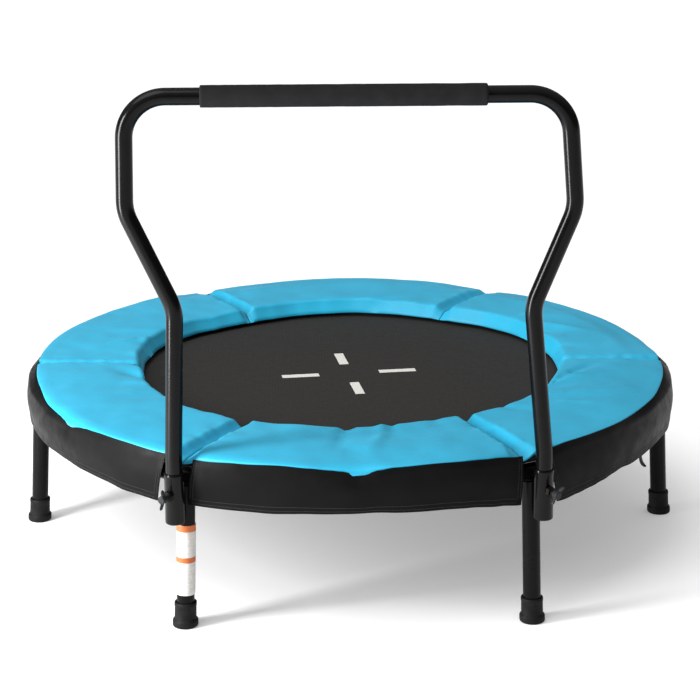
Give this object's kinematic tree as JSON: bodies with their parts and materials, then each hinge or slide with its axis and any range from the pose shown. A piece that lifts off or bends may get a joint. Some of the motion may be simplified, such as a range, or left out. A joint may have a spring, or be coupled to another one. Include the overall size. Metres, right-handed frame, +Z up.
{
  "type": "mini trampoline",
  "caption": "Small round trampoline with a padded blue cover, a black skirt, splayed legs with rubber feet and a bent front handle bar with a foam grip.",
  "frame": {"origin": "on the floor under the centre of the mat", "axes": "+Z up; the handle bar stands on the -Y side; +X runs along the bar, to the right seen from the front"},
  "size_m": [0.9462, 0.922, 0.7164],
  "materials": {
    "frame_steel": "gloss powder coat",
    "leg_steel": "gloss powder coat",
    "handle_steel": "gloss powder coat",
    "spring_steel": "zinc plated wire",
    "zinc_steel": "zinc plated",
    "foot_rubber": "matte moulded rubber",
    "knob_plastic": "satin moulded plastic",
    "grip_foam": "matte closed-cell foam",
    "mat_fabric": "matte woven polypropylene",
    "webbing": "woven webbing",
    "pad_vinyl": "satin coated fabric",
    "skirt_vinyl": "satin coated fabric",
    "sleeve_film": "white ribbed film with two orange bands"
  },
  "bodies": {
    "frame": {"frame_rail_1": "frame_steel", "frame_rail_2": "frame_steel", "frame_rail_3": "frame_steel", "frame_rail_4": "frame_steel", "frame_rail_5": "frame_steel", "frame_rail_6": "frame_steel", "leg_tube_1": "leg_steel", "leg_tube_2": "leg_steel", "leg_tube_3": "leg_steel", "leg_tube_4": "leg_steel", "leg_tube_5": "leg_steel", "leg_tube_6": "leg_steel", "foot_1": "foot_rubber", "foot_2": "foot_rubber", "foot_3": "foot_rubber", "foot_4": "foot_rubber", "foot_5": "foot_rubber", "foot_6": "foot_rubber", "pad_1": "pad_vinyl", "pad_2": "pad_vinyl", "pad_3": "pad_vinyl", "pad_4": "pad_vinyl", "pad_5": "pad_vinyl", "pad_6": "pad_vinyl", "skirt": "skirt_vinyl", "pad_strap": "webbing", "leg_sleeve": "sleeve_film", "handle_socket_left": "leg_steel", "socket_bracket_left": "leg_steel", "clamp_nut_left": "zinc_steel", "handle_socket_right": "leg_steel", "socket_bracket_right": "leg_steel", "clamp_nut_right": "zinc_steel", "spring_01": "spring_steel", "spring_02": "spring_steel", "spring_03": "spring_steel", "spring_04": "spring_steel", "spring_05": "spring_steel", "spring_06": "spring_steel", "spring_07": "spring_steel", "spring_08": "spring_steel", "spring_09": "spring_steel", "spring_10": "spring_steel", "spring_11": "spring_steel", "spring_12": "spring_steel", "spring_13": "spring_steel", "spring_14": "spring_steel", "spring_15": "spring_steel", "spring_16": "spring_steel", "spring_17": "spring_steel", "spring_18": "spring_steel"},
    "mat": {"jump_mat": "mat_fabric", "mat_binding": "webbing"},
    "handle": {"handle_tube": "handle_steel", "handle_grip": "grip_foam"},
    "clamp_left": {"clamp_screw_left": "zinc_steel"},
    "knob_left": {"wing_knob_left": "knob_plastic"},
    "clamp_right": {"clamp_screw_right": "zinc_steel"},
    "knob_right": {"wing_knob_right": "knob_plastic"}
  },
  "joints": [
    {"name": "handle_lift", "type": "slide", "parent": "frame", "child": "handle", "axis": [0, 0.0453, 0.999], "range_m": [0, 0.05]},
    {"name": "mat_bounce", "type": "slide", "parent": "frame", "child": "mat", "axis": [0, 0, -1], "range_m": [0, 0.07], "stiffness_N_per_m": 4500, "deforming": ["spring_01", "spring_02", "spring_03", "spring_04", "spring_05", "spring_06", "spring_07", "spring_08", "spring_09", "spring_10", "spring_11", "spring_12", "spring_13", "spring_14", "spring_15", "spring_16", "spring_17", "spring_18"]},
    {"name": "clamp_left_travel", "type": "slide", "parent": "frame", "child": "clamp_left", "axis": [-0.5, -0.866, 0], "range_m": [0, 0.0025]},
    {"name": "knob_left_turn", "type": "hinge", "parent": "clamp_left", "child": "knob_left", "pos_m": [-0.23779, -0.41155, 0.191], "axis": [-0.5, -0.866, 0], "range_deg": [0, 720]},
    {"name": "clamp_right_travel", "type": "slide", "parent": "frame", "child": "clamp_right", "axis": [0.5, -0.866, 0], "range_m": [0, 0.0025]},
    {"name": "knob_right_turn", "type": "hinge", "parent": "clamp_right", "child": "knob_right", "pos_m": [0.23779, -0.41155, 0.191], "axis": [0.5, -0.866, 0], "range_deg": [0, 720]}
  ],
  "couplings": [
    {"joint": "knob_left_turn", "follows": "clamp_left_travel", "rad_per_m": 5026.5},
    {"joint": "knob_right_turn", "follows": "clamp_right_travel", "rad_per_m": 5026.5}
  ]
}
